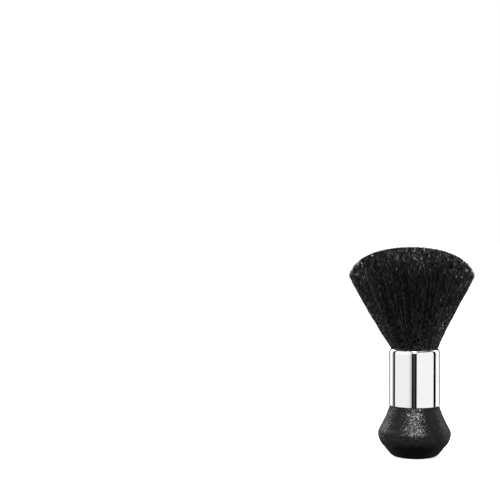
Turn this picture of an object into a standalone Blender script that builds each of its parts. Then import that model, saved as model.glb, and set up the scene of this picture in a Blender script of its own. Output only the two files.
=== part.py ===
"""Neck duster brush: a weighted moulded handle, a chromed ferrule and a flared bristle tuft.

The brush stands on its foot pad. The origin is the centre of that pad's lower face, +Z runs up
the brush's own axis, and lengths below are in millimetres until they are placed in a mesh.
"""

import math

import bmesh
import bpy

MM = 0.001
GAP = 0.3  # clearance between two touching pieces

# Whole brush
TOTAL_HEIGHT = 150.0

# Foot pad and the base of the handle
PAD_RADIUS = 13.0
PAD_THICKNESS = 1.4
PAD_EDGE = 0.3
PAD_RECESS_TOP = PAD_THICKNESS + GAP
BASE_Z = 0.5
BASE_FLAT_RADIUS = 14.4
BASE_EDGE_PULL = 1.2
BASE_EDGE_Z = 2.0
FLOOR_TOP = 3.7

# Belly of the handle, where the two shells meet
BELLY_RADIUS = 25.9
BELLY_Z = 16.4
LOWER_ARC_RADIUS = 11.9
LOWER_SLOPE = 41.0  # degrees from the axis
UPPER_ARC_RADIUS = 7.0
UPPER_SLOPE = 29.5  # degrees from the axis
SHELL_WALL = 2.0
LAP_DEPTH = 2.2
LAP_WALL = 1.1
LAP_ROOT_DEPTH = 3.0

# Neck of the handle and the spigot inside the ferrule
NECK_Z = 36.6
NECK_RADIUS = 17.9
NECK_SLOPE = 18.0  # degrees from the axis
NECK_EDGE = 0.5
SPIGOT_RADIUS = 17.2
SPIGOT_TOP = 53.5
SPIGOT_BORE = 15.0
SPIGOT_CHAMFER = 0.8
BORE_FLARE = (2.6, 6.5)  # how far the bore's lower end opens, outwards and downwards
DECK_THICKNESS = 2.0
GLUE_GROOVE_DEPTH = 1.2
GLUE_GROOVE_LOW = 44.0
GLUE_GROOVE_HIGH = 50.0

# Screw post, ribs, ballast and its fasteners
POST_RADIUS = 3.6
POST_BOTTOM = 20.6
PILOT_RADIUS = 1.75
PILOT_TOP = 36.0
PILOT_POINT = 0.6
RIB_COUNT = 4
RIB_WIDTH = 1.4
RIB_BOTTOM = 40.0
RIB_INNER = 2.6
RIB_OUTER = 15.6
SEAT_BOSS_RADIUS = 6.6
SEAT_BOSS_TOP = 7.0
COUNTERBORE_RADIUS = 4.1
COUNTERBORE_TOP = 5.2
BALLAST_RADIUS = 16.5
BALLAST_BORE = 2.2
BALLAST_CHAMFER = 1.2
WASHER_RADIUS = 3.6
WASHER_THICKNESS = 0.6
SCREW_RADIUS = 1.45
SCREW_HEAD_RADIUS = 2.9
SCREW_HEAD_HEIGHT = 2.1
SCREW_LENGTH = 27.0
SCREW_TIP = 2.0
SCREW_TIP_RADIUS = 0.3
SCREW_HEAD_EDGE = 0.9
SCREW_HEAD_CROWN = 0.15
CROSS_WIDTH = 0.8
CROSS_SPAN = 3.0
CROSS_DEPTH = 1.2

# Ferrule
FERRULE_RADIUS = 18.2
FERRULE_WALL = 0.7
FERRULE_TOP = 77.0
LIP_DEPTH = 3.4  # height over which the lip turns inwards
LIP_INSET = 1.3

# Bristles and what holds their roots
SEAT_DISC_THICKNESS = 1.4
PUCK_HEIGHT = 8.6
PUCK_RADIUS = 17.1
PUCK_CHAMFER = 0.8
BUNDLE_RADIUS = 15.3
BUNDLE_TOP = 72.5
MOUTH_RADIUS = 16.4
MOUTH_STEP = 0.2
FLARE_BASE_RADIUS = 16.9
FLARE_BASE_Z = 78.3
CREST_RADIUS = 45.0
CREST_Z = 129.4
CREST_ROUNDING = 1.6
DOME_START = 10  # degrees of the dome's ellipse that the crest's rounding takes up
DOME_STEP = 8
CORD_RADIUS = 0.5
CORD_TURNS = 3
CORD_PITCH = 1.3
CORD_LOW_Z = 66.4
CORD_POINTS_PER_TURN = 24

# Sides of each turned piece
BIG_SIDES = 48
SMALL_SIDES = 32
SCREW_SIDES = 24


def clear_scene():
    """Remove every object that the new file opened with."""
    for item in list(bpy.data.objects):
        bpy.data.objects.remove(item, do_unlink=True)


def material(name, colour, roughness, metallic=0.0):
    """A Principled material with one colour."""
    made = bpy.data.materials.new(name)
    made.use_nodes = True
    shader = made.node_tree.nodes["Principled BSDF"]
    shader.inputs["Base Color"].default_value = (*colour, 1.0)
    shader.inputs["Roughness"].default_value = roughness
    shader.inputs["Metallic"].default_value = metallic
    return made


def arc_point(centre_r, centre_z, radius, degrees):
    """A point of an arc in the (radius, height) plane; 0 degrees points outwards, 90 up."""
    angle = math.radians(degrees)
    return (centre_r + radius * math.cos(angle), centre_z + radius * math.sin(angle))


def arc(centre_r, centre_z, radius, start, end, steps):
    """Evenly spaced points of an arc, both ends included."""
    turn = (end - start) / steps
    return [arc_point(centre_r, centre_z, radius, start + turn * step) for step in range(steps + 1)]


def blend_curve(start, middle, end, steps):
    """Points of a quadratic curve that leaves start and meets end along the lines to middle."""
    points = []
    for step in range(steps + 1):
        t = step / steps
        radius = (1 - t) ** 2 * start[0] + 2 * t * (1 - t) * middle[0] + t * t * end[0]
        height = (1 - t) ** 2 * start[1] + 2 * t * (1 - t) * middle[1] + t * t * end[1]
        points.append((radius, height))
    return points


def tangent_meeting(low, low_slope, high, high_slope):
    """Where two tangents meet; both lean inwards going up, by their slopes from the axis."""
    low_rate = math.tan(math.radians(low_slope))
    high_rate = math.tan(math.radians(high_slope))
    height = (low[0] + low_rate * low[1] - high[0] - high_rate * high[1]) / (low_rate - high_rate)
    return (low[0] - low_rate * (height - low[1]), height)


def ring(bm, radius, height, sides):
    """The vertices of one turned circle, or the single vertex where it meets the axis."""
    if radius == 0.0:
        return [bm.verts.new((0.0, 0.0, height * MM))]
    vertices = []
    for side in range(sides):
        angle = 2 * math.pi * side / sides
        place = (radius * math.cos(angle) * MM, radius * math.sin(angle) * MM, height * MM)
        vertices.append(bm.verts.new(place))
    return vertices


def skin(bm, first, second):
    """The band of faces between two neighbouring circles."""
    count = max(len(first), len(second))
    for side in range(count):
        after = (side + 1) % count
        corners = [
            first[side % len(first)],
            first[after % len(first)],
            second[after % len(second)],
            second[side % len(second)],
        ]
        bm.faces.new(list(dict.fromkeys(corners)))


def show(name, mesh, finish):
    """Put a finished mesh in the scene, with its material, shaded smooth between sharp edges."""
    mesh.shade_smooth()
    mesh.set_sharp_from_angle(angle=math.radians(32))
    mesh.materials.append(finish)
    piece = bpy.data.objects.new(name, mesh)
    bpy.context.collection.objects.link(piece)
    return piece


def turned(name, outline, finish, sides=BIG_SIDES):
    """A turned piece. Its outline either starts and ends on the axis or closes on itself."""
    bm = bmesh.new()
    circles = [ring(bm, radius, height, sides) for radius, height in outline]
    for first, second in zip(circles, circles[1:]):
        skin(bm, first, second)
    if outline[0][0] > 0.0:
        skin(bm, circles[-1], circles[0])
    bmesh.ops.recalc_face_normals(bm, faces=bm.faces[:])
    mesh = bpy.data.meshes.new(name)
    bm.to_mesh(mesh)
    bm.free()
    return show(name, mesh, finish)


def guide_box(name, size, place, turn=0.0):
    """A box that only joins or cuts another piece."""
    bm = bmesh.new()
    bmesh.ops.create_cube(bm, size=1.0)
    bmesh.ops.scale(bm, vec=[length * MM for length in size], verts=bm.verts[:])
    mesh = bpy.data.meshes.new(name)
    bm.to_mesh(mesh)
    bm.free()
    box = bpy.data.objects.new(name, mesh)
    box.location = [length * MM for length in place]
    box.rotation_euler = (0.0, 0.0, turn)
    box.hide_render = True
    box.display_type = "WIRE"
    bpy.context.collection.objects.link(box)
    return box


def combine(piece, guide, operation):
    """Join or cut a piece with a guide box."""
    modifier = piece.modifiers.new(guide.name, "BOOLEAN")
    modifier.operation = operation
    modifier.object = guide


def belly_lower_end():
    """Where the rounded belly runs into the straight lower cone."""
    return arc_point(BELLY_RADIUS - LOWER_ARC_RADIUS, BELLY_Z, LOWER_ARC_RADIUS, -LOWER_SLOPE)


def belly_upper_end():
    """Where the rounded belly runs into the waisted upper cone."""
    return arc_point(BELLY_RADIUS - UPPER_ARC_RADIUS, BELLY_Z, UPPER_ARC_RADIUS, UPPER_SLOPE)


def bowl_radius(height, wall=0.0):
    """Radius of the lower cone at a height, less a wall measured square to its surface."""
    end_radius, end_z = belly_lower_end()
    rate = math.tan(math.radians(LOWER_SLOPE))
    outer = end_radius - rate * (end_z - height)
    return outer - wall / math.cos(math.radians(LOWER_SLOPE))


def make_foot_pad():
    """The soft disc the brush stands on, which also hides the screw."""
    outline = [
        (0.0, 0.0),
        (PAD_RADIUS - PAD_EDGE, 0.0),
        (PAD_RADIUS, PAD_EDGE),
        (PAD_RADIUS, PAD_THICKNESS),
        (0.0, PAD_THICKNESS),
    ]
    turned("foot_pad", outline, material("foot_pad_rubber", (0.02, 0.02, 0.02), 0.85))


def make_lower_shell():
    """The bowl: pad recess, screw counterbore, seat for the ballast and the lap that locates it."""
    rim_z = BELLY_Z - GAP / 2
    lap_outer = BELLY_RADIUS - SHELL_WALL + LAP_WALL - GAP
    lap_inner = lap_outer - LAP_WALL
    wall_bend = belly_lower_end()[1] - LAP_WALL
    base_edge = (BASE_FLAT_RADIUS, BASE_Z)
    base_corner = (BASE_FLAT_RADIUS + BASE_EDGE_PULL, BASE_Z)
    base_rise = (bowl_radius(BASE_EDGE_Z), BASE_EDGE_Z)
    seam_turn = math.degrees(math.asin(GAP / 2 / LOWER_ARC_RADIUS))
    centre = BELLY_RADIUS - LOWER_ARC_RADIUS
    outline = [
        (PILOT_RADIUS, SEAT_BOSS_TOP),
        (PILOT_RADIUS, COUNTERBORE_TOP),
        (COUNTERBORE_RADIUS, COUNTERBORE_TOP),
        (COUNTERBORE_RADIUS, PAD_RECESS_TOP),
        (PAD_RADIUS + GAP, PAD_RECESS_TOP),
        (PAD_RADIUS + GAP, BASE_Z),
    ]
    outline += blend_curve(base_edge, base_corner, base_rise, 3)
    outline += arc(centre, BELLY_Z, LOWER_ARC_RADIUS, -LOWER_SLOPE, -seam_turn, 7)
    outline += [
        (lap_outer, rim_z),
        (lap_outer, rim_z + LAP_DEPTH - GAP),
        (lap_inner, rim_z + LAP_DEPTH - GAP),
        (lap_inner, BELLY_Z - LAP_ROOT_DEPTH),
        (bowl_radius(wall_bend, SHELL_WALL), wall_bend),
        (bowl_radius(FLOOR_TOP, SHELL_WALL), FLOOR_TOP),
        (SEAT_BOSS_RADIUS, FLOOR_TOP),
        (SEAT_BOSS_RADIUS, SEAT_BOSS_TOP),
    ]
    turned("handle_lower_shell", outline, material("handle_abs_lower", (0.018, 0.018, 0.019), 0.5))


def upper_shell_inside():
    """The upper shell's inner outline, from the pilot hole's end to the rabbet at the seam."""
    rabbet = BELLY_RADIUS - SHELL_WALL + LAP_WALL
    rabbet_top = BELLY_Z + LAP_DEPTH
    wall_start = (rabbet - LAP_WALL - GAP, rabbet_top)
    wall_end = (SPIGOT_BORE, NECK_Z - SHELL_WALL / 2)
    wall_middle = (wall_end[0] + BORE_FLARE[0], wall_end[1] - BORE_FLARE[1])
    outline = [
        (0.0, PILOT_TOP),
        (PILOT_RADIUS, PILOT_TOP - PILOT_POINT),
        (PILOT_RADIUS, POST_BOTTOM),
        (POST_RADIUS, POST_BOTTOM),
        (POST_RADIUS, SPIGOT_TOP - DECK_THICKNESS),
        (SPIGOT_BORE, SPIGOT_TOP - DECK_THICKNESS),
    ]
    outline += blend_curve(wall_end, wall_middle, wall_start, 7)
    outline.append((rabbet, rabbet_top))
    outline.append((rabbet, BELLY_Z + GAP / 2))
    return outline


def upper_shell_outside():
    """The upper shell's outer outline, from the seam up to the middle of the spigot's end."""
    belly_end = belly_upper_end()
    neck = (NECK_RADIUS, NECK_Z - NECK_EDGE)
    middle = tangent_meeting(belly_end, UPPER_SLOPE, neck, NECK_SLOPE)
    seam_turn = math.degrees(math.asin(GAP / 2 / UPPER_ARC_RADIUS))
    centre = BELLY_RADIUS - UPPER_ARC_RADIUS
    groove = SPIGOT_RADIUS - GLUE_GROOVE_DEPTH
    outline = arc(centre, BELLY_Z, UPPER_ARC_RADIUS, seam_turn, UPPER_SLOPE, 5)
    outline += blend_curve(belly_end, middle, neck, 9)[1:]
    outline += [
        (NECK_RADIUS - NECK_EDGE, NECK_Z),
        (SPIGOT_RADIUS, NECK_Z),
        (SPIGOT_RADIUS, GLUE_GROOVE_LOW),
        (groove, GLUE_GROOVE_LOW),
        (groove, GLUE_GROOVE_HIGH),
        (SPIGOT_RADIUS, GLUE_GROOVE_HIGH),
        (SPIGOT_RADIUS, SPIGOT_TOP - SPIGOT_CHAMFER),
        (SPIGOT_RADIUS - SPIGOT_CHAMFER, SPIGOT_TOP),
        (0.0, SPIGOT_TOP),
    ]
    return outline


def make_upper_shell():
    """The waisted cone with its spigot, deck, screw post and ribs."""
    finish = material("handle_abs_upper", (0.03, 0.03, 0.031), 0.45)
    outline = upper_shell_inside() + upper_shell_outside()
    shell = turned("handle_upper_shell", outline, finish)
    rib_top = SPIGOT_TOP - DECK_THICKNESS / 2
    size = (RIB_OUTER - RIB_INNER, RIB_WIDTH, rib_top - RIB_BOTTOM)
    reach = (RIB_OUTER + RIB_INNER) / 2
    height = (rib_top + RIB_BOTTOM) / 2
    for number in range(RIB_COUNT):
        turn = 2 * math.pi * (number + 0.5) / RIB_COUNT
        place = (reach * math.cos(turn), reach * math.sin(turn), height)
        combine(shell, guide_box(f"rib_guide_{number}", size, place, turn), "UNION")


def make_glue_band():
    """The ring of adhesive in the spigot's groove that holds the ferrule."""
    inner = SPIGOT_RADIUS - GLUE_GROOVE_DEPTH + GAP
    outline = [
        (inner, GLUE_GROOVE_LOW + GAP),
        (SPIGOT_RADIUS, GLUE_GROOVE_LOW + GAP),
        (SPIGOT_RADIUS, GLUE_GROOVE_HIGH - GAP),
        (inner, GLUE_GROOVE_HIGH - GAP),
    ]
    turned("ferrule_glue_band", outline, material("epoxy_amber", (0.55, 0.4, 0.2), 0.3))


def make_ballast():
    """The steel slug that keeps the brush upright on its base."""
    low = SEAT_BOSS_TOP + GAP
    high = POST_BOTTOM - GAP
    outline = [
        (BALLAST_BORE, low),
        (BALLAST_RADIUS - BALLAST_CHAMFER, low),
        (BALLAST_RADIUS, low + BALLAST_CHAMFER),
        (BALLAST_RADIUS, high - BALLAST_CHAMFER),
        (BALLAST_RADIUS - BALLAST_CHAMFER, high),
        (BALLAST_BORE, high),
    ]
    turned("ballast_weight", outline, material("plain_steel", (0.35, 0.35, 0.36), 0.4, 1.0))


def make_washer():
    """The washer under the screw's head."""
    high = COUNTERBORE_TOP - GAP
    low = high - WASHER_THICKNESS
    outline = [
        (PILOT_RADIUS, low),
        (WASHER_RADIUS, low),
        (WASHER_RADIUS, high),
        (PILOT_RADIUS, high),
    ]
    finish = material("zinc_washer", (0.5, 0.5, 0.52), 0.35, 1.0)
    turned("ballast_washer", outline, finish, SMALL_SIDES)


def make_screw():
    """The cross-recessed screw that clamps both shells and the ballast together."""
    head_top = COUNTERBORE_TOP - 2 * GAP - WASHER_THICKNESS
    head_low = head_top - SCREW_HEAD_HEIGHT
    tip = head_top + SCREW_LENGTH
    outline = [
        (0.0, head_low),
        (SCREW_HEAD_RADIUS - SCREW_HEAD_EDGE, head_low + SCREW_HEAD_CROWN),
        (SCREW_HEAD_RADIUS, head_low + SCREW_HEAD_EDGE),
        (SCREW_HEAD_RADIUS, head_top),
        (SCREW_RADIUS, head_top),
        (SCREW_RADIUS, tip - SCREW_TIP),
        (SCREW_TIP_RADIUS, tip),
        (0.0, tip),
    ]
    finish = material("zinc_screw", (0.55, 0.55, 0.57), 0.3, 1.0)
    screw = turned("ballast_screw", outline, finish, SCREW_SIDES)
    size = (CROSS_SPAN, CROSS_WIDTH, 2 * CROSS_DEPTH)
    for number in range(2):
        guide = guide_box(f"cross_guide_{number}", size, (0.0, 0.0, head_low), number * math.pi / 2)
        combine(screw, guide, "DIFFERENCE")


def lip_curve(wall, steps):
    """The lip's quarter ellipse at a depth in the wall, from the tube's side to its mouth."""
    curve = []
    for step in range(steps + 1):
        angle = math.pi / 2 * step / steps
        radius = FERRULE_RADIUS - LIP_INSET + (LIP_INSET - wall) * math.cos(angle)
        height = FERRULE_TOP - LIP_DEPTH + (LIP_DEPTH - wall) * math.sin(angle)
        curve.append((radius, height))
    return curve


def make_ferrule():
    """The drawn tube with its upper lip drawn inwards round the bristles."""
    bottom = NECK_Z + GAP
    outline = [(FERRULE_RADIUS, bottom)]
    outline += lip_curve(0.0, 7)
    outline += reversed(lip_curve(FERRULE_WALL, 5))
    outline.append((FERRULE_RADIUS - FERRULE_WALL, bottom))
    turned("ferrule", outline, material("ferrule_chrome", (0.82, 0.82, 0.83), 0.08, 1.0))


def make_seat_disc():
    """The card disc between the handle's deck and the set roots of the bristles."""
    low = SPIGOT_TOP + GAP
    outline = [
        (0.0, low),
        (PUCK_RADIUS, low),
        (PUCK_RADIUS, low + SEAT_DISC_THICKNESS),
        (0.0, low + SEAT_DISC_THICKNESS),
    ]
    finish = material("seat_disc_card", (0.45, 0.38, 0.28), 0.9)
    turned("seat_disc", outline, finish, SMALL_SIDES)


def root_puck_span():
    """Lowest and highest height of the cured roots."""
    low = SPIGOT_TOP + SEAT_DISC_THICKNESS + 2 * GAP
    return low, low + PUCK_HEIGHT


def make_root_puck():
    """The fibres' roots cured in resin, wider than the ferrule's mouth, so they can't pull out."""
    low, high = root_puck_span()
    outline = [
        (0.0, low),
        (PUCK_RADIUS - PUCK_CHAMFER, low),
        (PUCK_RADIUS, low + PUCK_CHAMFER),
        (PUCK_RADIUS, high - PUCK_CHAMFER),
        (PUCK_RADIUS - PUCK_CHAMFER, high),
        (0.0, high),
    ]
    turned("bristle_root_puck", outline, material("root_resin", (0.06, 0.05, 0.04), 0.35))


def make_binding_cord():
    """The cord wound round the bundle just above its roots."""
    reach = BUNDLE_RADIUS + GAP + CORD_RADIUS
    curve = bpy.data.curves.new("root_binding_cord", "CURVE")
    curve.dimensions = "3D"
    curve.bevel_depth = CORD_RADIUS * MM
    curve.bevel_resolution = 2
    curve.use_fill_caps = True
    spline = curve.splines.new("POLY")
    count = CORD_TURNS * CORD_POINTS_PER_TURN
    spline.points.add(count)
    for number, point in enumerate(spline.points):
        turn = number / CORD_POINTS_PER_TURN
        angle = 2 * math.pi * turn
        height = CORD_LOW_Z + CORD_PITCH * turn
        place = (reach * math.cos(angle) * MM, reach * math.sin(angle) * MM, height * MM)
        point.co = (*place, 1.0)
    curve.materials.append(material("binding_cord_polyester", (0.6, 0.58, 0.52), 0.8))
    piece = bpy.data.objects.new("root_binding_cord", curve)
    bpy.context.collection.objects.link(piece)


def make_tuft():
    """The bristles as one closed form: bundle in the mouth, flared cone and shallow dome."""
    low = root_puck_span()[1] + GAP
    mouth = FERRULE_TOP + GAP / 2
    side_rate = (CREST_RADIUS - FLARE_BASE_RADIUS) / (CREST_Z - FLARE_BASE_Z)
    side_end = (CREST_RADIUS - side_rate * CREST_ROUNDING, CREST_Z - CREST_ROUNDING)
    dome = []
    for degrees in range(DOME_START, 90, DOME_STEP):
        angle = math.radians(degrees)
        height = CREST_Z + (TOTAL_HEIGHT - CREST_Z) * math.sin(angle)
        dome.append((CREST_RADIUS * math.cos(angle), height))
    outline = [
        (0.0, low),
        (BUNDLE_RADIUS, low),
        (BUNDLE_RADIUS, BUNDLE_TOP),
        (MOUTH_RADIUS, FERRULE_TOP - FERRULE_WALL),
        (MOUTH_RADIUS, mouth),
        (MOUTH_RADIUS + MOUTH_STEP, mouth + GAP),
        (FLARE_BASE_RADIUS, FLARE_BASE_Z),
        ((FLARE_BASE_RADIUS + side_end[0]) / 2, (FLARE_BASE_Z + side_end[1]) / 2),
    ]
    outline += blend_curve(side_end, (CREST_RADIUS, CREST_Z), dome[0], 3)
    outline += dome[1:]
    outline.append((0.0, TOTAL_HEIGHT))
    turned("bristle_tuft", outline, material("bristle_nylon", (0.012, 0.012, 0.012), 0.55))


def main():
    clear_scene()
    make_foot_pad()
    make_lower_shell()
    make_washer()
    make_screw()
    make_ballast()
    make_upper_shell()
    make_glue_band()
    make_ferrule()
    make_seat_disc()
    make_root_puck()
    make_binding_cord()
    make_tuft()


main()
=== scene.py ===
"""Looks of the neck duster brush: turned shells with moulded grain, a chromed ferrule and a tuft
of separate bristles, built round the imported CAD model. Lengths are in metres, heights along +Z."""

import math

import bmesh
import bpy
import numpy as np
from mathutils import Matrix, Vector, kdtree


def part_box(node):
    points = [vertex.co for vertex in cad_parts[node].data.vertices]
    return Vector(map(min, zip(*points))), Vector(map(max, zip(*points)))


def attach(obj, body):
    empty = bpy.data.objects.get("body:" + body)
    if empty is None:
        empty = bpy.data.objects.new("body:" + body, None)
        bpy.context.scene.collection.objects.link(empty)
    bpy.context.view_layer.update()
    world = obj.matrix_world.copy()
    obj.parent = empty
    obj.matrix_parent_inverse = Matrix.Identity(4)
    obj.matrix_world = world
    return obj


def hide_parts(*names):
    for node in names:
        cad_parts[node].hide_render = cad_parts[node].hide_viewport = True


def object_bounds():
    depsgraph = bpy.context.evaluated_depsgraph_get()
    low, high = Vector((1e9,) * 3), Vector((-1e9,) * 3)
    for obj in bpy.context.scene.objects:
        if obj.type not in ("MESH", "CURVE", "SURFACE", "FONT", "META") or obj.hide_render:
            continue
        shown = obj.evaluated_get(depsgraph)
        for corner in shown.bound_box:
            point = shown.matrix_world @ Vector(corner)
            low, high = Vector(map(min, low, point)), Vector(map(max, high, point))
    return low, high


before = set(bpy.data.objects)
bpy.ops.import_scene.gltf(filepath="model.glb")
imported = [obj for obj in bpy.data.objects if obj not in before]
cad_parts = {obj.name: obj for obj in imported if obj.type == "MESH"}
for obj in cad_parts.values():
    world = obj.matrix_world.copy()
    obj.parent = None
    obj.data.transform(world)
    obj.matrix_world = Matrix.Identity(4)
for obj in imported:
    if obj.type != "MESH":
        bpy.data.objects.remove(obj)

CAD_LOW, CAD_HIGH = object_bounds()

MM = 0.001
GAP = 0.3 * MM

# Camera: in front of the brush and a little above it, aimed to its left
CAMERA_PLACE = (0.0, -0.9, 0.1653)
CAMERA_AIM = (-0.1187, 0.0, 0.1473)
CAMERA_LENS = 90.0
SENSOR_WIDTH = 36.0

# Studio, in degrees: azimuth 0 is towards the camera, positive to its right
PANEL_FOOT = -15.0
PANEL_SOFT_UP = (2.0, 8.0)
FLOOR_SHARE = 0.45                                      # of a panel's strength, below its foot
FLOOR_FIELD_FOOT = -48.0
FLOOR_FIELD_SOFT_UP = (10.0, 2.0)
PANELS = [                                              # strength, azimuths, top, softness of each side
    (1.03, (10.2, 94.5), 34.0, (0.8, 0.8)),             # right of the camera
    (0.52, (-97.5, -12.6), 46.0, (0.8, 0.8)),           # left of the camera
    (0.46, (-97.5, -19.0), 46.0, (0.8, 9.0)),           # the same, brighter away from the camera
    (1.1, (110.5, 146.0), 46.0, (0.8, 8.0)),            # behind, to the right
    (1.1, (-146.0, -114.5), 46.0, (8.0, 9.0)),          # behind, to the left
    (0.12, (146.0, 190.0), 46.0, (8.0, 1.0)),           # straight behind
    (0.12, (-190.0, -146.0), 46.0, (1.0, 8.0)),         # straight behind
    (0.05, (-6.5, 3.5), 46.0, (2.0, 2.0)),              # the camera and what is round it
]
LIGHT_FIELDS = [                                        # strength, azimuths, elevations, softness of both
    (1.3, (119.0, 146.0), (12.0, 56.0), (4.0, 6.0), (6.0, 8.0)),        # rim light, right
    (6.4, (-146.0, -121.0), (12.0, 56.0), (6.0, 4.0), (6.0, 8.0)),      # rim light, left
    (0.14, (-97.5, -12.6), (4.0, 46.0), (0.8, 0.8), (4.0, 8.0)),        # left of the camera
    (1.5, (-9.0, 8.0), (20.0, 46.0), (3.0, 3.0), (5.0, 5.0)),           # above the camera
    (0.8, (-97.5, 94.5), (54.0, 99.0), (1.0, 1.0), (10.0, 1.0)),        # ceiling, in front
    (0.8, (110.5, 190.0), (54.0, 99.0), (1.0, 1.0), (10.0, 1.0)),       # ceiling, behind to the right
    (0.8, (-190.0, -112.0), (54.0, 99.0), (1.0, 6.0), (10.0, 1.0)),     # ceiling, behind to the left
    (0.06, (-190.0, 190.0), (-99.0, -50.0), (1.0, 1.0), (1.0, 10.0)),   # straight below
]

# Key light, a square softbox above the camera
KEY_PLACE = (0.0, -0.62, 0.76)
KEY_AIM = (0.0, 0.0, 0.05)
KEY_SIDE = 0.12
KEY_ENERGY = 37.0

# Floor
FLOOR_HALF_SIDE = 9.0
FLOOR_GLOW = 0.75

# Turned pieces
SIDES = 256
BUNDLE_SIDES = 96
HOLD = 0.12 * MM                                        # from a long run's end to its holding point
SHARP_ANGLE = 32.0

# Handle; slopes are in degrees from the axis
BELLY_Z = 16.4 * MM
LOWER_ARC = 11.9 * MM
LOWER_SLOPE = 41.0
UPPER_ARC = 7.0 * MM
UPPER_SLOPE = 29.5
NECK_RADIUS = 17.9 * MM
NECK_SLOPE = 18.0
NECK_EDGE = 0.5 * MM
SHELL_WALL = 2.0 * MM
LAP_WALL = 1.1 * MM
LAP_DEPTH = 2.2 * MM
LAP_ROOT_DEPTH = 3.0 * MM
SEAM_GAP = 0.06 * MM
SEAM_EDGE = 0.1 * MM
BASE_FLAT_RADIUS = 14.4 * MM
BASE_EDGE_PULL = 1.2 * MM
BASE_EDGE_Z = 2.0 * MM
FLOOR_TOP = 3.7 * MM
SEAT_BOSS_RADIUS = 6.6 * MM
SEAT_BOSS_TOP = 7.0 * MM
COUNTERBORE_RADIUS = 4.1 * MM
COUNTERBORE_TOP = 5.2 * MM
PILOT_RADIUS = 1.75 * MM
PILOT_TOP = 36.0 * MM
POST_RADIUS = 3.6 * MM
POST_BOTTOM = 20.6 * MM
SPIGOT_RADIUS = 17.2 * MM
SPIGOT_BORE = 15.0 * MM
SPIGOT_CHAMFER = 0.8 * MM
BORE_FLARE = (2.6 * MM, 6.5 * MM)
DECK_THICKNESS = 2.0 * MM
GROOVE_DEPTH = 1.2 * MM
RIB_COUNT = 4
RIB_WIDTH = 1.4 * MM
RIB_BOTTOM = 40.0 * MM
RIB_REACH = (2.6 * MM, 15.6 * MM)

# Foot pad
PAD_EDGE = 0.3 * MM
PAD_RINGS = (0.45, 0.75)                                # shares of the pad's radius
PAD_RING_DEPTH = 0.3 * MM
PAD_RING_HALF_WIDTHS = (0.5 * MM, 0.3 * MM)             # at its mouth, at its floor

# Moulded grain of the handle
GRAIN_SCALES = (1500.0, 2300.0)                         # facets per metre
GRAIN_TILT = 0.18
# the bowl's black is painted lighter than the cone's, as painted light on its downward face
LOWER_LOOK_PAINTED_LIGHTER = (0.004, 0.0065, 0.9)                       # darkest, lightest, grain
UPPER_LOOK = (0.0018, 0.0030, 1.0)

# Ferrule
FERRULE_WALL = 0.7 * MM
LIP_DEPTH = 3.4 * MM
LIP_INSET = 1.3 * MM
FERRULE_FOOT_EDGE = 0.2 * MM

# Packed end of the bristles, inside the ferrule
BUNDLE_SINK = 2.2 * MM
BUNDLE_GAP = 0.1 * MM
BUNDLE_EDGE = 1.0 * MM

# Bristles: numbers and arrangement
SEED = 11
GOLDEN_ANGLE = math.pi * (3.0 - math.sqrt(5.0))
BRISTLE_COUNT = 28000
BRISTLE_RADIUS = 0.1 * MM
TIP_RADIUS = 0.055 * MM
CLUMP_COUNT = 2600
ROOT_JITTER = 0.45                                      # shares of the spacing
CLUMP_JITTER = 0.5
CLUMP_PULL = (0.2, 0.65)                                # how far tips close in on their clump's centre
TIP_JITTER = 0.006                                      # share of the crest radius
OUTER_FROM = 0.8                                        # share of the root radius
OUTER_RINGS = 13
OUTER_SECTORS = 6
CORE_RINGS = 6
CORE_SECTORS = 6

# Bristles: shape of the tuft
BUNDLE_RADIUS = 15.0 * MM
MOUTH_RINGS = ((-5.0 * MM, 1.0), (-0.4 * MM, 1.085), (0.6 * MM, 1.12))    # height, spread
FLARE_RADIUS = 17.7 * MM
FLARE_HEIGHT = 2.4 * MM
CREST_RADIUS = 44.8 * MM
CREST_DROP = 19.6 * MM
TOP_RISE = 0.2 * MM
RIM_PUSH = 1.012
LEAN = -2.4 * MM
LEAN_LENGTH = 14.0 * MM
DOME_POWERS = (2.25, 0.6)
OWN_SHORT = 0.7 * MM                                    # mean shortfall of a bristle
CLUMP_SHORT = 0.3 * MM
OWN_WAVE = 0.2 * MM
STRAY_SPREAD = 0.4
OWN_WAVE_LENGTHS = (9.0 * MM, 26.0 * MM)
CLUMP_WAVE = 0.18 * MM
CLUMP_WAVE_LENGTHS = (14.0 * MM, 34.0 * MM)
WAVE_ONSET = 2.5                                        # waves are full from 1/2.5 of the length
STUBBLE_FROM = 0.8                                      # share of the root radius
STUBBLE_SHARE = 0.6                                     # of the outer bristles
STUBBLE_LENGTHS = (0.5, 1.0)

# Bristles: look; spreads are of the natural logarithm
BODY_SHADE = 0.0031
OWN_SHADE = 0.9                                         # spread between bristles
CLUMP_SHADE = 0.3                                       # spread between clumps
GLOSS_SPREAD = 0.7
WORN_LENGTH = 2.2 * MM
END_SHADE_PAINTED = 0.2                                        # share of the shade left on an end, darkened as painted shade
WORN_GLOSS = 0.012                                      # share of the gloss left on a worn end
FACING_GLOSS = 0.1                                      # added to that share at the front
TIP_PALE_AND_HIGHLIGHT = 0.0007                                      # added to a tip: pale worn end and painted highlight
TIP_SPREAD = 2.4
PALEST_TIP = 0.42
STUBBLE_TIP_PALE_AND_HIGHLIGHT = 0.05                                    # added to the tip of a short bristle: pale end and painted highlight
PAINTED_GLINT_SHADE = 1.2                                       # of the painted glints along the outer bristles


# ---------------------------------------------------------------- outlines and turned meshes


def arc_point(centre_r, centre_z, radius, degrees):
    """A point of an arc in the (radius, height) plane; 0 degrees points outwards, 90 up."""
    angle = math.radians(degrees)
    return (centre_r + radius * math.cos(angle), centre_z + radius * math.sin(angle))


def arc(centre_r, centre_z, radius, start, end, steps):
    """Evenly spaced points of an arc, both ends included."""
    turn = (end - start) / steps
    return [arc_point(centre_r, centre_z, radius, start + turn * step) for step in range(steps + 1)]


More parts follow.
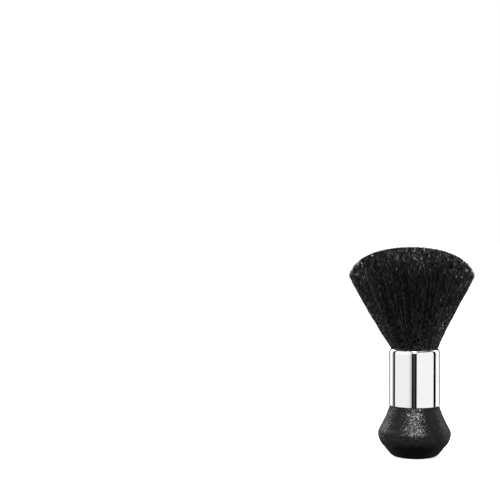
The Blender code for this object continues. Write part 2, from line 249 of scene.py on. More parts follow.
def blend_curve(start, middle, end, steps):
    """Points of a quadratic curve from start to end, leaving and arriving towards middle."""
    points = []
    for step in range(steps + 1):
        t = step / steps
        radius = (1 - t) ** 2 * start[0] + 2 * t * (1 - t) * middle[0] + t * t * end[0]
        height = (1 - t) ** 2 * start[1] + 2 * t * (1 - t) * middle[1] + t * t * end[1]
        points.append((radius, height))
    return points


def tangent_meeting(low, low_slope, high, high_slope):
    """Where two tangents meet; both lean inwards going up, by their slopes from the axis."""
    low_rate = math.tan(math.radians(low_slope))
    high_rate = math.tan(math.radians(high_slope))
    height = (low[0] + low_rate * low[1] - high[0] - high_rate * high[1]) / (low_rate - high_rate)
    return (low[0] - low_rate * (height - low[1]), height)


def held_corners(outline):
    """The outline with a point close to each end of every long straight run, to hold its shading."""
    closed = outline[0][0] > 0.0
    held = []
    for start, end in zip(outline, outline[1:] + outline[:1]):
        held.append(start)
        run = math.dist(start, end)
        if run < 4 * HOLD or (end is outline[0] and not closed):
            continue
        for share in (HOLD / run, 1.0 - HOLD / run):
            radius = start[0] + (end[0] - start[0]) * share
            held.append((radius, start[1] + (end[1] - start[1]) * share))
    return held


def turned_mesh(name, outline, sides=SIDES):
    """A turned mesh. Its outline either starts and ends on the axis or closes on itself."""
    bm = bmesh.new()
    rings = []
    for radius, height in held_corners(outline):
        if radius == 0.0:
            rings.append([bm.verts.new((0.0, 0.0, height))])
            continue
        turns = [2 * math.pi * side / sides for side in range(sides)]
        places = [(radius * math.cos(turn), radius * math.sin(turn), height) for turn in turns]
        rings.append([bm.verts.new(place) for place in places])
    pairs = list(zip(rings, rings[1:]))
    if outline[0][0] > 0.0:
        pairs.append((rings[-1], rings[0]))
    for first, second in pairs:
        for side in range(sides):
            after = (side + 1) % sides
            corners = [
                first[side % len(first)],
                first[after % len(first)],
                second[after % len(second)],
                second[side % len(second)],
            ]
            bm.faces.new(list(dict.fromkeys(corners)))
    bmesh.ops.recalc_face_normals(bm, faces=bm.faces[:])
    mesh = bpy.data.meshes.new(name)
    bm.to_mesh(mesh)
    bm.free()
    return mesh


def add_object(name, mesh):
    """An object for a mesh, in the scene."""
    made = bpy.data.objects.new(name, mesh)
    bpy.context.scene.collection.objects.link(made)
    return made


def show(piece, finish, node, sharp=SHARP_ANGLE):
    """Shade a finished piece, give it its material and let it stand for its CAD node."""
    piece.data.shade_smooth()
    if sharp:
        piece.data.set_sharp_from_angle(angle=math.radians(sharp))
    piece.data.materials.clear()
    piece.data.materials.append(finish)
    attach(piece, "root")
    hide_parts(node)
    return piece


def join_box(piece, size, place, turn):
    """Join a box to a piece for good."""
    bm = bmesh.new()
    bmesh.ops.create_cube(bm, size=1.0)
    bmesh.ops.scale(bm, vec=size, verts=bm.verts[:])
    mesh = bpy.data.meshes.new("join_guide")
    bm.to_mesh(mesh)
    bm.free()
    guide = add_object("join_guide", mesh)
    guide.location = place
    guide.rotation_euler = (0.0, 0.0, turn)
    modifier = piece.modifiers.new("join", "BOOLEAN")
    modifier.operation = "UNION"
    modifier.object = guide
    bpy.context.view_layer.update()
    graph = bpy.context.evaluated_depsgraph_get()
    joined = bpy.data.meshes.new_from_object(piece.evaluated_get(graph))
    piece.modifiers.clear()
    piece.data = joined
    bpy.data.objects.remove(guide)


# ---------------------------------------------------------------- materials


class Finish:
    """A Principled material and the short calls that build its procedural parts."""

    def __init__(self, name, roughness=0.5, metallic=0.0, specular=0.5):
        self.material = bpy.data.materials.new(name)
        self.material.use_nodes = True
        self.tree = self.material.node_tree
        self.shader = self.tree.nodes["Principled BSDF"]
        self.set("Roughness", roughness)
        self.set("Metallic", metallic)
        self.set("Specular IOR Level", specular)
        self.height = None

    def set(self, socket, value):
        """A constant on the shader's own socket."""
        self.shader.inputs[socket].default_value = value

    def node(self, kind, **settings):
        """A new node, with its properties and its inputs' constants set."""
        made = self.tree.nodes.new(kind)
        for key, value in settings.items():
            if hasattr(made, key):
                setattr(made, key, value)
            else:
                made.inputs[key.replace("_", " ")].default_value = value
        return made

    def link(self, output, target):
        """A wire from an output to an input."""
        self.tree.links.new(output, target)

    def place(self, stretch=(1.0, 1.0, 1.0)):
        """Object coordinates, stretched."""
        coordinates = self.node("ShaderNodeTexCoord")
        mapping = self.node("ShaderNodeMapping", vector_type="POINT")
        mapping.inputs["Scale"].default_value = stretch
        self.link(coordinates.outputs["Object"], mapping.inputs["Vector"])
        return mapping.outputs["Vector"]

    def noise(self, scale, detail=4.0, stretch=(1.0, 1.0, 1.0), distortion=0.0):
        """Fractal noise; scale is in features per metre."""
        made = self.node(
            "ShaderNodeTexNoise", Scale=scale, Detail=detail, Distortion=distortion, Roughness=0.55
        )
        self.link(self.place(stretch), made.inputs["Vector"])
        return made.outputs["Fac"]

    def cells(self, scale, output="Distance"):
        """Distance to a cell's centre, or the cell's random colour; scale is in cells per metre."""
        made = self.node("ShaderNodeTexVoronoi", Scale=scale)
        self.link(self.place(), made.inputs["Vector"])
        return made.outputs[output]

    def facets(self, scale, tilt):
        """Tilts the surface at random, cell by cell, over the relief so far."""
        centred = self.node("ShaderNodeVectorMath", operation="MULTIPLY_ADD")
        self.link(self.cells(scale, "Color"), centred.inputs[0])
        centred.inputs[1].default_value = (2.0 * tilt,) * 3
        centred.inputs[2].default_value = (-tilt,) * 3
        tilted = self.node("ShaderNodeVectorMath", operation="ADD")
        self.link(self.height, tilted.inputs[0])
        self.link(centred.outputs["Vector"], tilted.inputs[1])
        level = self.node("ShaderNodeVectorMath", operation="NORMALIZE")
        self.link(tilted.outputs["Vector"], level.inputs[0])
        self.height = level.outputs["Vector"]
        self.link(self.height, self.shader.inputs["Normal"])

    def spread(self, value, low, high, from_low=0.3, from_high=0.7):
        """A value carried from one range to another."""
        made = self.node("ShaderNodeMapRange")
        made.inputs["From Min"].default_value = from_low
        made.inputs["From Max"].default_value = from_high
        made.inputs["To Min"].default_value = low
        made.inputs["To Max"].default_value = high
        self.link(value, made.inputs["Value"])
        return made.outputs["Result"]

    def per_point(self, name):
        """A value stored on the mesh's points."""
        return self.node("ShaderNodeAttribute", attribute_name=name).outputs["Fac"]

    def maths(self, operation, first, second):
        """One arithmetic node on two values."""
        made = self.node("ShaderNodeMath", operation=operation)
        self.link(first, made.inputs[0])
        self.link(second, made.inputs[1])
        return made.outputs["Value"]

    def times(self, first, second):
        """The product of two values."""
        return self.maths("MULTIPLY", first, second)

    def plus(self, first, second):
        """The sum of two values."""
        return self.maths("ADD", first, second)

    def colours(self, value, stops):
        """Base colour from a ramp between two (position, colour) stops."""
        made = self.node("ShaderNodeValToRGB")
        for element, (position, colour) in zip(made.color_ramp.elements, stops, strict=True):
            element.position = position
            element.color = (*colour, 1.0)
        self.link(value, made.inputs["Fac"])
        self.link(made.outputs["Color"], self.shader.inputs["Base Color"])

    def rough(self, value, low, high):
        """Roughness that follows a pattern."""
        self.link(self.spread(value, low, high), self.shader.inputs["Roughness"])

    def bump(self, value, depth, strength=1.0):
        """Relief of a depth in metres, laid over the relief so far."""
        made = self.node("ShaderNodeBump", Strength=strength, Distance=depth)
        self.link(value, made.inputs["Height"])
        if self.height:
            self.link(self.height, made.inputs["Normal"])
        self.height = made.outputs["Normal"]
        self.link(self.height, self.shader.inputs["Normal"])


def grey(value, tint=0.0):
    """A near-neutral colour, warmer for a positive tint."""
    return (value * (1.0 + tint), value, value * (1.0 - tint))


def bristle_finish():
    """Dyed nylon: near black, each fibre a little different, with painted glints and pale tips, partly
    painted highlight.
    """
    made = Finish("bristle_nylon", roughness=0.36)
    streaks = made.noise(1000.0, detail=2.0, stretch=(1.0, 1.0, 0.22))
    spots = made.noise(1100.0, detail=0.0)
    # base colour: each bristle's dyed tone, with painted shade on its end and painted highlight on its
    # tip
    dye_and_painted_ends = made.times(made.per_point("shade"), made.spread(streaks, 0.0, 2.2, 0.36, 0.66))
    # painted glints: pale specks on the outer bristles for the light that catches the sides
    painted_glints = made.times(made.per_point("painted_glint"), made.spread(spots, 0.0, 1.0, 0.6, 0.72))
    made.colours(made.plus(dye_and_painted_ends, painted_glints), [(0.0, grey(0.0)), (1.0, grey(1.0, 0.02))])
    shine = made.times(made.per_point("gloss"), made.spread(streaks, 0.0, 1.3, 0.4, 0.68))
    made.link(shine, made.shader.inputs["Specular IOR Level"])
    made.bump(made.noise(1500.0, detail=1.0), 0.12 * MM)
    return made.material


def bundle_finish():
    """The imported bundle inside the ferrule: black, with the lines of its fibres."""
    made = Finish("bristle_bundle_nylon", roughness=0.5, specular=0.3)
    lines = made.noise(2600.0, detail=2.0, stretch=(1.0, 1.0, 0.03))
    made.colours(lines, [(0.35, grey(0.004)), (0.65, grey(0.014))])
    made.bump(lines, 0.12 * MM)
    return made.material


def handle_finish(name, dark, light, grain):
    """Black ABS with a spark-eroded grain, as two layers of fine facets that glitter."""
    made = Finish(name, roughness=0.31, specular=0.12)
    cloud = made.noise(160.0, detail=5.0)
    made.colours(cloud, [(0.3, grey(dark)), (0.7, grey(light))])
    made.rough(made.noise(420.0, detail=3.0), 0.28, 0.34)
    made.bump(made.noise(1900.0, detail=1.0), 0.01 * MM * grain)
    for scale in GRAIN_SCALES:
        made.facets(scale, GRAIN_TILT * grain)
    return made.material


def chrome_finish():
    """Bright chrome plate with faint drawing lines and handling haze."""
    made = Finish("ferrule_chrome", roughness=0.05, metallic=1.0)
    haze = made.noise(55.0, detail=6.0, distortion=0.6)
    made.colours(haze, [(0.3, grey(0.86, -0.006)), (0.7, grey(0.9, -0.004))])
    made.rough(haze, 0.035, 0.075)
    drawn = made.noise(1500.0, detail=2.0, stretch=(1.0, 1.0, 0.01))
    made.bump(drawn, 0.0006 * MM)
    return made.material


def rubber_finish():
    """Matt black rubber with a fine pebble."""
    made = Finish("foot_rubber", roughness=0.85, specular=0.3)
    made.colours(made.noise(300.0), [(0.3, grey(0.016)), (0.7, grey(0.026))])
    made.rough(made.noise(800.0), 0.75, 0.92)
    made.bump(made.cells(1600.0), 0.05 * MM)
    return made.material


def steel_finish():
    """Turned mild steel, with tool rings and a little oil staining."""
    made = Finish("ballast_steel", roughness=0.35, metallic=1.0)
    made.colours(made.noise(120.0, detail=5.0), [(0.3, grey(0.3, 0.02)), (0.7, grey(0.45, 0.01))])
    made.rough(made.noise(350.0), 0.28, 0.45)
    made.bump(made.noise(1800.0, stretch=(0.05, 0.05, 1.0)), 0.02 * MM)
    return made.material


def zinc_finish():
    """Bright zinc plate with cloudy passivation."""
    made = Finish("zinc_plate", roughness=0.3, metallic=1.0)
    made.colours(made.noise(500.0, detail=5.0), [(0.3, grey(0.52, -0.03)), (0.7, grey(0.68, 0.01))])
    made.rough(made.noise(900.0), 0.22, 0.38)
    made.bump(made.noise(4000.0), 0.01 * MM)
    return made.material


def resin_finish():
    """Fibre roots in cured resin: dark, glossy, with fibre ends showing as specks."""
    made = Finish("root_resin", roughness=0.3)
    specks = made.cells(2200.0)
    made.colours(specks, [(0.2, grey(0.012)), (0.6, grey(0.07, 0.2))])
    made.rough(made.noise(200.0), 0.22, 0.4)
    made.bump(specks, 0.03 * MM)
    return made.material


def cord_finish():
    """Twisted polyester cord."""
    made = Finish("binding_cord", roughness=0.8, specular=0.3)
    strands = made.noise(3500.0, detail=3.0, stretch=(1.0, 1.0, 2.0))
    made.colours(strands, [(0.3, grey(0.42, 0.08)), (0.7, grey(0.66, 0.06))])
    made.bump(strands, 0.06 * MM)
    return made.material


def card_finish():
    """Grey-brown card."""
    made = Finish("seat_card", roughness=0.9, specular=0.2)
    fibres = made.noise(1200.0, detail=6.0, stretch=(1.0, 0.3, 1.0), distortion=1.0)
    made.colours(fibres, [(0.3, grey(0.3, 0.2)), (0.7, grey(0.42, 0.2))])
    made.bump(fibres, 0.03 * MM)
    return made.material


def adhesive_finish():
    """Amber epoxy."""
    made = Finish("epoxy", roughness=0.22)
    cloud = made.noise(260.0, distortion=0.8)
    made.colours(cloud, [(0.3, (0.5, 0.33, 0.12)), (0.7, (0.66, 0.48, 0.22))])
    made.bump(made.noise(500.0, detail=2.0), 0.04 * MM)
    return made.material


# ---------------------------------------------------------------- handle


def belly_arc_end(radius, slope):
    """Where one of the belly's two arcs ends; a negative slope is below the belly."""
    belly_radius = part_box("handle_lower_shell")[1].x
    return arc_point(belly_radius - radius, BELLY_Z, radius, slope)


def bowl_radius(height, wall=0.0):
    """Radius of the lower cone at a height, less a wall measured square to its surface."""
    end_radius, end_z = belly_arc_end(LOWER_ARC, -LOWER_SLOPE)
    outer = end_radius - math.tan(math.radians(LOWER_SLOPE)) * (end_z - height)
    return outer - wall / math.cos(math.radians(LOWER_SLOPE))


def seam_turn(radius):
    """How far from the belly's level a shell's seam edge begins, in degrees of its arc."""
    return math.degrees(math.asin((SEAM_GAP / 2 + SEAM_EDGE) / radius))


def lower_shell_outline():
    """The bowl's outline, from the screw hole out, round the base, up the side and back inside."""
    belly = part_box("handle_lower_shell")[1].x
    base_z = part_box("handle_lower_shell")[0].z
    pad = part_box("foot_pad")[1]
    rim_z = BELLY_Z - SEAM_GAP / 2
    lap_outer = belly - SHELL_WALL + LAP_WALL - GAP
    lap_inner = lap_outer - LAP_WALL
    lap_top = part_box("handle_lower_shell")[1].z
    bend = belly_arc_end(LOWER_ARC, -LOWER_SLOPE)[1] - LAP_WALL
    base_edge = (BASE_FLAT_RADIUS, base_z)
    base_corner = (BASE_FLAT_RADIUS + BASE_EDGE_PULL, base_z)
    base_rise = (bowl_radius(BASE_EDGE_Z), BASE_EDGE_Z)
    start = (bowl_radius(FLOOR_TOP, SHELL_WALL), FLOOR_TOP)
    outline = [
        (PILOT_RADIUS, SEAT_BOSS_TOP),
        (PILOT_RADIUS, COUNTERBORE_TOP),
        (COUNTERBORE_RADIUS, COUNTERBORE_TOP),
        (COUNTERBORE_RADIUS, pad.z + GAP),
        (pad.x + GAP, pad.z + GAP),
        (pad.x + GAP, base_z + SEAM_EDGE),
        (pad.x + GAP + SEAM_EDGE, base_z),
    ]
    outline += blend_curve(base_edge, base_corner, base_rise, 10)
    outline += arc(belly - LOWER_ARC, BELLY_Z, LOWER_ARC, -LOWER_SLOPE, -seam_turn(LOWER_ARC), 24)
    outline += [
        (belly - SEAM_EDGE, rim_z),
        (lap_outer, rim_z),
        (lap_outer, lap_top - SEAM_EDGE),
        (lap_outer - SEAM_EDGE, lap_top),
        (lap_inner, lap_top),
        (lap_inner, BELLY_Z - LAP_ROOT_DEPTH),
    ]
    outline += blend_curve(
        (lap_inner, BELLY_Z - LAP_ROOT_DEPTH), (bowl_radius(bend, SHELL_WALL), bend), start, 12
    )[1:]
    outline += [
        (SEAT_BOSS_RADIUS, FLOOR_TOP),
        (SEAT_BOSS_RADIUS, SEAT_BOSS_TOP),
    ]
    return outline


def upper_shell_inside():
    """The upper shell's inner outline, from the pilot hole's end to the rabbet at the seam."""
    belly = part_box("handle_upper_shell")[1].x
    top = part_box("handle_upper_shell")[1].z
    neck_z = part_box("ferrule")[0].z - GAP
    rabbet = belly - SHELL_WALL + LAP_WALL
    rabbet_top = BELLY_Z + LAP_DEPTH
    wall_start = (rabbet - LAP_WALL - GAP, rabbet_top)
    wall_end = (SPIGOT_BORE, neck_z - SHELL_WALL / 2)
    wall_middle = (wall_end[0] + BORE_FLARE[0], wall_end[1] - BORE_FLARE[1])
    outline = [
        (0.0, PILOT_TOP),
        (PILOT_RADIUS, PILOT_TOP - PILOT_RADIUS / 3),
        (PILOT_RADIUS, POST_BOTTOM),
        (POST_RADIUS, POST_BOTTOM),
        (POST_RADIUS, top - DECK_THICKNESS),
        (SPIGOT_BORE, top - DECK_THICKNESS),
    ]
    outline += blend_curve(wall_end, wall_middle, wall_start, 20)
    outline.append((rabbet, rabbet_top))
    outline.append((rabbet, BELLY_Z + SEAM_GAP / 2))
    return outline


def upper_shell_outside():
    """The upper shell's outer outline, from the seam up to the middle of the spigot's end."""
    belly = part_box("handle_upper_shell")[1].x
    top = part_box("handle_upper_shell")[1].z
    neck_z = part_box("ferrule")[0].z - GAP
    band_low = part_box("ferrule_glue_band")[0].z - GAP
    band_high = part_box("ferrule_glue_band")[1].z + GAP
    belly_end = arc_point(belly - UPPER_ARC, BELLY_Z, UPPER_ARC, UPPER_SLOPE)
    neck = (NECK_RADIUS, neck_z - NECK_EDGE)
    middle = tangent_meeting(belly_end, UPPER_SLOPE, neck, NECK_SLOPE)
    outline = [(belly - SEAM_EDGE, BELLY_Z + SEAM_GAP / 2)]
    outline += arc(belly - UPPER_ARC, BELLY_Z, UPPER_ARC, seam_turn(UPPER_ARC), UPPER_SLOPE, 20)
    outline += blend_curve(belly_end, middle, neck, 30)[1:]
    outline += arc(NECK_RADIUS - NECK_EDGE, neck_z - NECK_EDGE, NECK_EDGE, NECK_SLOPE, 90.0, 6)
    outline += [
        (SPIGOT_RADIUS, neck_z),
        (SPIGOT_RADIUS, band_low),
        (SPIGOT_RADIUS - GROOVE_DEPTH, band_low),
        (SPIGOT_RADIUS - GROOVE_DEPTH, band_high),
        (SPIGOT_RADIUS, band_high),
        (SPIGOT_RADIUS, top - SPIGOT_CHAMFER),
        (SPIGOT_RADIUS - SPIGOT_CHAMFER, top),
        (0.0, top),
    ]
    return outline


def make_handle():
    """Both shells of the handle."""
    lower = add_object("handle_bowl", turned_mesh("handle_bowl", lower_shell_outline()))
    # a lighter black than the cone's, standing in for light on the bowl
    lower_look = handle_finish("handle_abs_lower", *LOWER_LOOK_PAINTED_LIGHTER)
    show(lower, lower_look, "handle_lower_shell")
    upper_outline = upper_shell_inside() + upper_shell_outside()
    upper = add_object("handle_cone", turned_mesh("handle_cone", upper_outline))
    rib_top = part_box("handle_upper_shell")[1].z - DECK_THICKNESS / 2
    size = (RIB_REACH[1] - RIB_REACH[0], RIB_WIDTH, rib_top - RIB_BOTTOM)
    reach = sum(RIB_REACH) / 2
    for number in range(RIB_COUNT):
        turn = 2 * math.pi * (number + 0.5) / RIB_COUNT
        place = (reach * math.cos(turn), reach * math.sin(turn), (rib_top + RIB_BOTTOM) / 2)
        join_box(upper, size, place, turn)
    upper_look = handle_finish("handle_abs_upper", *UPPER_LOOK)
    show(upper, upper_look, "handle_upper_shell")


def make_foot_pad():
    """The rubber disc under the base, with rounded edges and two anti-slip rings."""
    low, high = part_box("foot_pad")
    mouth, bottom = PAD_RING_HALF_WIDTHS
    outline = [(0.0, low.z)]
    for share in PAD_RINGS:
        middle = share * high.x
        outline += [
            (middle - mouth, low.z),
            (middle - bottom, low.z + PAD_RING_DEPTH),
            (middle + bottom, low.z + PAD_RING_DEPTH),
            (middle + mouth, low.z),
        ]
    outline += arc(high.x - PAD_EDGE, low.z + PAD_EDGE, PAD_EDGE, -90.0, 0.0, 5)
    outline += arc(high.x - PAD_EDGE / 2, high.z - PAD_EDGE / 2, PAD_EDGE / 2, 0.0, 90.0, 3)
    outline.append((0.0, high.z))
    pad = add_object("foot_disc", turned_mesh("foot_disc", outline))
    show(pad, rubber_finish(), "foot_pad")


# ---------------------------------------------------------------- ferrule


def lip_curve(depth, steps):
    """The lip's quarter ellipse at a depth in the wall, from the tube's side to its mouth."""
    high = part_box("ferrule")[1]
    curve = []
    for step in range(steps + 1):
        turn = math.pi / 2 * step / steps
        radius = high.x - LIP_INSET + (LIP_INSET - depth) * math.cos(turn)
        curve.append((radius, high.z - LIP_DEPTH + (LIP_DEPTH - depth) * math.sin(turn)))
    return curve


def make_ferrule():
    """The drawn tube: rounded foot edge, straight wall and a lip drawn in round the bristles."""
    low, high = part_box("ferrule")
    outer = high.x
    edge = FERRULE_WALL / 2
    outline = arc(
        outer - FERRULE_FOOT_EDGE, low.z + FERRULE_FOOT_EDGE, FERRULE_FOOT_EDGE, -90.0, 0.0, 5
    )
    outline += lip_curve(0.0, 32)
    outline += arc(outer - LIP_INSET, high.z - edge, edge, 90.0, 270.0, 10)[1:-1]
    outline += reversed(lip_curve(FERRULE_WALL, 16))
    outline.append((outer - FERRULE_WALL, low.z))
    tube = add_object("ferrule_tube", turned_mesh("ferrule_tube", outline))
    show(tube, chrome_finish(), "ferrule")


# ---------------------------------------------------------------- bristles


def sunflower(count, rng, jitter):
    """Evenly spread points in the unit disc, each moved by a share of their spacing."""
    index = np.arange(count) + 0.5
    radius = np.sqrt(index / count)
    angle = index * GOLDEN_ANGLE
    points = np.stack([radius * np.cos(angle), radius * np.sin(angle)], axis=1)
    points += rng.normal(0.0, jitter / math.sqrt(count), points.shape)
    return clamp_to_disc(points)


def clamp_to_disc(points):
    """Points pulled back inside the unit disc."""
    length = np.linalg.norm(points, axis=1, keepdims=True)
    return points / np.maximum(length, 1.0)


def nearest(points, centres):
    """The index of the nearest centre to each point."""
    tree = kdtree.KDTree(len(centres))
    for number, centre in enumerate(centres):
        tree.insert((centre[0], centre[1], 0.0), number)
    tree.balance()
    return np.array([tree.find((point[0], point[1], 0.0))[1] for point in points])


def lean(height, mouth):
    """Sideways set of the tuft at a height above the ferrule's mouth."""
    return LEAN * (1.0 - np.exp(-np.maximum(height - mouth, 0.0) / LEAN_LENGTH))


def wave_table(rng, count, lengths):
    """Direction, phase and length of one sideways wave for each bristle or clump."""
    turn = rng.uniform(0.0, 2 * math.pi, count)
    phase = rng.uniform(0.0, 2 * math.pi, count)
    return np.column_stack([np.cos(turn), np.sin(turn), phase, rng.uniform(*lengths, count)])


def swing(table, along, size):
    """Sideways offsets of (bristle, point, xy) for waves of one size; along is arc length."""
    height = size * np.sin(2 * math.pi * along / table[:, 3:4] + table[:, 2:3])
    return height[:, :, None] * table[:, None, :2]


def plan_bristles(rng):
    """Every bristle's root, tip, waves, shades and gloss, as a dictionary of arrays.

    The pale tips and the painted glints fade towards the front, where the tips catch no light; the tips
    are partly pale worn ends, partly painted highlight."""
    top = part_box("bristle_tuft")[1].z
    root = sunflower(BRISTLE_COUNT, rng, ROOT_JITTER)
    centres = sunflower(CLUMP_COUNT, rng, CLUMP_JITTER)
    clump = nearest(root, centres)
    pull = rng.uniform(*CLUMP_PULL, CLUMP_COUNT)[clump][:, None]
    tip_disc = (root * (1.0 - pull) + centres[clump] * pull) * RIM_PUSH
    tip_disc = clamp_to_disc(tip_disc + rng.normal(0.0, TIP_JITTER, root.shape))
    reach = np.linalg.norm(tip_disc, axis=1)
    dome = np.maximum(1.0 - reach ** DOME_POWERS[0], 0.0) ** DOME_POWERS[1]
    outer = np.linalg.norm(root, axis=1) > STUBBLE_FROM
    stubble = outer & (rng.random(BRISTLE_COUNT) < STUBBLE_SHARE)
    # Tips and glints are painted paler away from the front, as painted light that the sides and back
    # catch
    facing = np.maximum(-tip_disc[:, 1], 0.0)
    turned = 1.0 - facing ** 2
    # short bristles' tips are painted pale mostly at the sides, as painted highlight
    end_pale_and_highlight = np.where(stubble, STUBBLE_TIP_PALE_AND_HIGHLIGHT * turned ** 3, TIP_PALE_AND_HIGHLIGHT * turned)
    short = rng.exponential(OWN_SHORT, BRISTLE_COUNT)
    short += rng.exponential(CLUMP_SHORT, CLUMP_COUNT)[clump]
    shade = rng.normal(0.0, OWN_SHADE, BRISTLE_COUNT)
    shade += rng.normal(0.0, CLUMP_SHADE, CLUMP_COUNT)[clump]
    tip_height = top + TOP_RISE - CREST_DROP * (1.0 - dome) - short
    return {
        "root": root,
        "tip": np.column_stack([tip_disc * CREST_RADIUS, tip_height]),
        "clump_wave": wave_table(rng, CLUMP_COUNT, CLUMP_WAVE_LENGTHS)[clump],
        "own_wave": wave_table(rng, BRISTLE_COUNT, OWN_WAVE_LENGTHS),
        "shade": BODY_SHADE * np.exp(shade),
        "tip_pale_and_highlight": np.minimum(end_pale_and_highlight * np.exp(rng.normal(0.0, TIP_SPREAD, BRISTLE_COUNT)), PALEST_TIP),
        # glints painted on the outer bristles, fading towards the front
        "painted_glint": PAINTED_GLINT_SHADE * turned ** 3 * outer,
        "gloss": np.exp(rng.normal(0.0, GLOSS_SPREAD, BRISTLE_COUNT)),
        "worn_gloss": WORN_GLOSS + FACING_GLOSS * facing ** 3,
        # ends darkened as painted shade on the dome, less so towards the front
        "end_painted_shade": END_SHADE_PAINTED + (1.0 - END_SHADE_PAINTED) * facing ** 3,
        "length": np.where(stubble, rng.uniform(*STUBBLE_LENGTHS, BRISTLE_COUNT), 1.0),
        "stray": np.exp(rng.normal(0.0, STRAY_SPREAD, BRISTLE_COUNT)),
    }


def bristle_paths(plan, ring_count):
    """Centre lines of planned bristles, as (bristle, ring, xyz)."""
    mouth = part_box("ferrule")[1].z
    root, tip = plan["root"], plan["tip"]
    lower = []
    for height, spread in MOUTH_RINGS:
        level = np.full(len(root), mouth + height)
        lower.append(np.column_stack([root * BUNDLE_RADIUS * spread, level]))
    base = np.column_stack([root * FLARE_RADIUS, np.full(len(root), mouth + FLARE_HEIGHT)])
    tip = base + (tip - base) * plan["length"][:, None]
    length = np.linalg.norm(tip - base, axis=1)[:, None]
    even = np.linspace(0.0, 1.0, ring_count - 1)[None] * (1.0 - WORN_LENGTH / length)
    share = np.concatenate([even, np.ones((len(root), 1))], axis=1)
    paths = base[:, None] + (tip - base)[:, None] * share[:, :, None]
    offset = swing(plan["clump_wave"], share * length, CLUMP_WAVE)
    offset += swing(plan["own_wave"], share * length, OWN_WAVE) * plan["stray"][:, None, None]
    paths[:, :, :2] += offset * np.minimum(share * WAVE_ONSET, 1.0)[:, :, None]
    paths = np.concatenate([np.stack(lower, axis=1), paths], axis=1)
    paths[:, :, 0] += lean(paths[:, :, 2], mouth)
    return paths


def tube_vertices(paths, rng):
    """Three corners round every ring of every path, closing in at the tip."""
    along = np.gradient(paths, axis=1)
    along /= np.linalg.norm(along, axis=2, keepdims=True)
    turn = rng.uniform(0.0, 2 * math.pi, len(paths))
    guide = np.stack([np.cos(turn), np.sin(turn), np.zeros(len(paths))], axis=1)[:, None, :]
    side = np.cross(along, guide)
    side /= np.linalg.norm(side, axis=2, keepdims=True)
    front = np.cross(side, along)
    radius = np.full(paths.shape[1], BRISTLE_RADIUS)
    radius[-1] = TIP_RADIUS
    corners = []
    for corner in range(3):
        angle = 2 * math.pi * corner / 3
        offset = side * math.cos(angle) + front * math.sin(angle)
        corners.append(paths + offset * radius[None, :, None])
    return np.stack(corners, axis=2).reshape(-1, 3)


def tube_faces(count, ring_count):
    """Corner indices of the tubes' four-sided walls, then of their three-sided ends."""
    first = (np.arange(count) * ring_count * 3)[:, None, None]
    walls = []
    for ring in range(ring_count - 1):
        for corner in range(3):
            low = ring * 3 + corner
            after = ring * 3 + (corner + 1) % 3
            walls.append([low, low + 3, after + 3, after])
    last = (ring_count - 1) * 3
    ends = [[0, 1, 2], [last, last + 2, last + 1]]
    return (first + np.array(walls)).reshape(-1), (first + np.array(ends)).reshape(-1)


def bristle_mesh(name, plan, ring_count, rng):
    """Closed three-sided tubes in one mesh, with a shade, a painted glint and a gloss value at each
    point.
    """
    paths = bristle_paths(plan, ring_count)
    count, rings = paths.shape[:2]
    vertices = tube_vertices(paths, rng)
    walls, ends = tube_faces(count, rings)
    wall_count, end_count = len(walls) // 4, len(ends) // 3
    starts = np.concatenate([np.arange(wall_count) * 4, wall_count * 4 + np.arange(end_count) * 3])
    mesh = bpy.data.meshes.new(name)
    mesh.vertices.add(len(vertices))
    mesh.vertices.foreach_set("co", vertices.astype(np.float32).ravel())
    mesh.loops.add(len(walls) + len(ends))
    mesh.loops.foreach_set("vertex_index", np.concatenate([walls, ends]).astype(np.int32))
    mesh.polygons.add(wall_count + end_count)
    mesh.polygons.foreach_set("loop_start", starts.astype(np.int32))
    mesh.update(calc_edges=True)
    shade = np.repeat(plan["shade"][:, None], rings, axis=1)
    # painted shade: the last rings darkened, except at the front
    shade[:, -2:] *= plan["end_painted_shade"][:, None]
    # pale tip: partly a worn end, partly painted highlight
    shade[:, -1] += plan["tip_pale_and_highlight"]
    # painted glints along the outer bristles' length, strongest at mid-length
    painted_glint = plan["painted_glint"][:, None] * np.sin(math.pi * np.linspace(0.0, 1.0, rings)) ** 2
    gloss = np.repeat(plan["gloss"][:, None], rings, axis=1)
    gloss[:, -2:] *= plan["worn_gloss"][:, None]
    for label, values in (("shade", shade), ("painted_glint", painted_glint), ("gloss", gloss)):
        layer = mesh.attributes.new(label, "FLOAT", "POINT")
        layer.data.foreach_set("value", np.repeat(values.ravel(), 3).astype(np.float32))
    return mesh


def make_bristles():
    """The tuft: sectors of finely curved outer bristles round a core of plainer ones."""
    rng = np.random.default_rng(SEED)
    plan = plan_bristles(rng)
    finish = bristle_finish()
    outer = np.linalg.norm(plan["root"], axis=1) > OUTER_FROM
    angle = np.arctan2(plan["root"][:, 1], plan["root"][:, 0])
    groups = [("outer", outer, OUTER_RINGS, OUTER_SECTORS), ("core", ~outer, CORE_RINGS, CORE_SECTORS)]
    for kind, members, ring_count, sectors in groups:
        sector = np.floor((angle + math.pi) / (2 * math.pi) * sectors).astype(int) % sectors
        for number in range(sectors):
            chosen = members & (sector == number)
            part = {key: values[chosen] for key, values in plan.items()}
            name = f"bristles_{kind}_{number + 1}"
            mesh = bristle_mesh(name, part, ring_count, rng)
            show(add_object(name, mesh), finish, "bristle_tuft", sharp=None)


